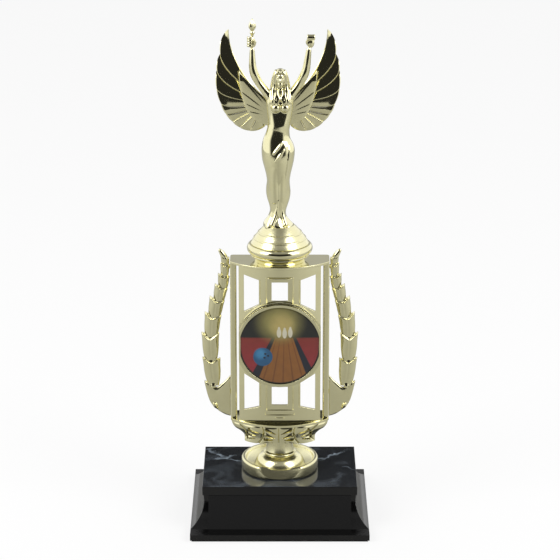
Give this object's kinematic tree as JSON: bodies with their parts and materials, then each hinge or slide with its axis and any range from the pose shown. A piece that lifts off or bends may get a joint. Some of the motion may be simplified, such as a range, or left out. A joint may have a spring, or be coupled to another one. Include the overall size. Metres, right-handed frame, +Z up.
{
  "type": "bowling trophy",
  "caption": "Winged figure with torch on a wreath riser with a round insert, bell foot and black weighted base, bolted together on one axis.",
  "frame": {"origin": "on the table, centre of the felt under the bolt axis", "axes": "+Z up along the bolt axis, -Y towards the front with the insert, +X to the viewer's right"},
  "size_m": [0.113, 0.108, 0.3235],
  "materials": {
    "felt": "pressed felt",
    "black_plastic": "polished mould",
    "weight": "cast",
    "marble_foil": "glossy printed foil, dark marble",
    "gold_metallised": "vacuum metallised pale gold",
    "zinc_steel": "zinc plated",
    "tape": "foam tape",
    "insert_face": "glossy printed film"
  },
  "bodies": {
    "root": {"felt_pad": "felt", "base_shell": "black_plastic", "base_weight": "weight", "marble_top": "marble_foil", "base_nut": "zinc_steel", "base_washer": "zinc_steel", "base_bolt": "zinc_steel", "bolt_washer": "zinc_steel", "foot": "gold_metallised", "riser_skirt": "gold_metallised", "riser_front_panel": "gold_metallised", "left_side_wall": "gold_metallised", "right_side_wall": "gold_metallised", "riser_top_plate": "gold_metallised", "left_wreath": "gold_metallised", "right_wreath": "gold_metallised", "insert_tape": "tape", "insert_disc": "insert_face", "top_collar": "gold_metallised", "figure_nut": "zinc_steel", "figure_washer": "zinc_steel", "figure_stud": "zinc_steel", "figure_dome": "gold_metallised", "figure_body": "gold_metallised", "left_wing": "gold_metallised", "right_wing": "gold_metallised"}
  },
  "joints": []
}
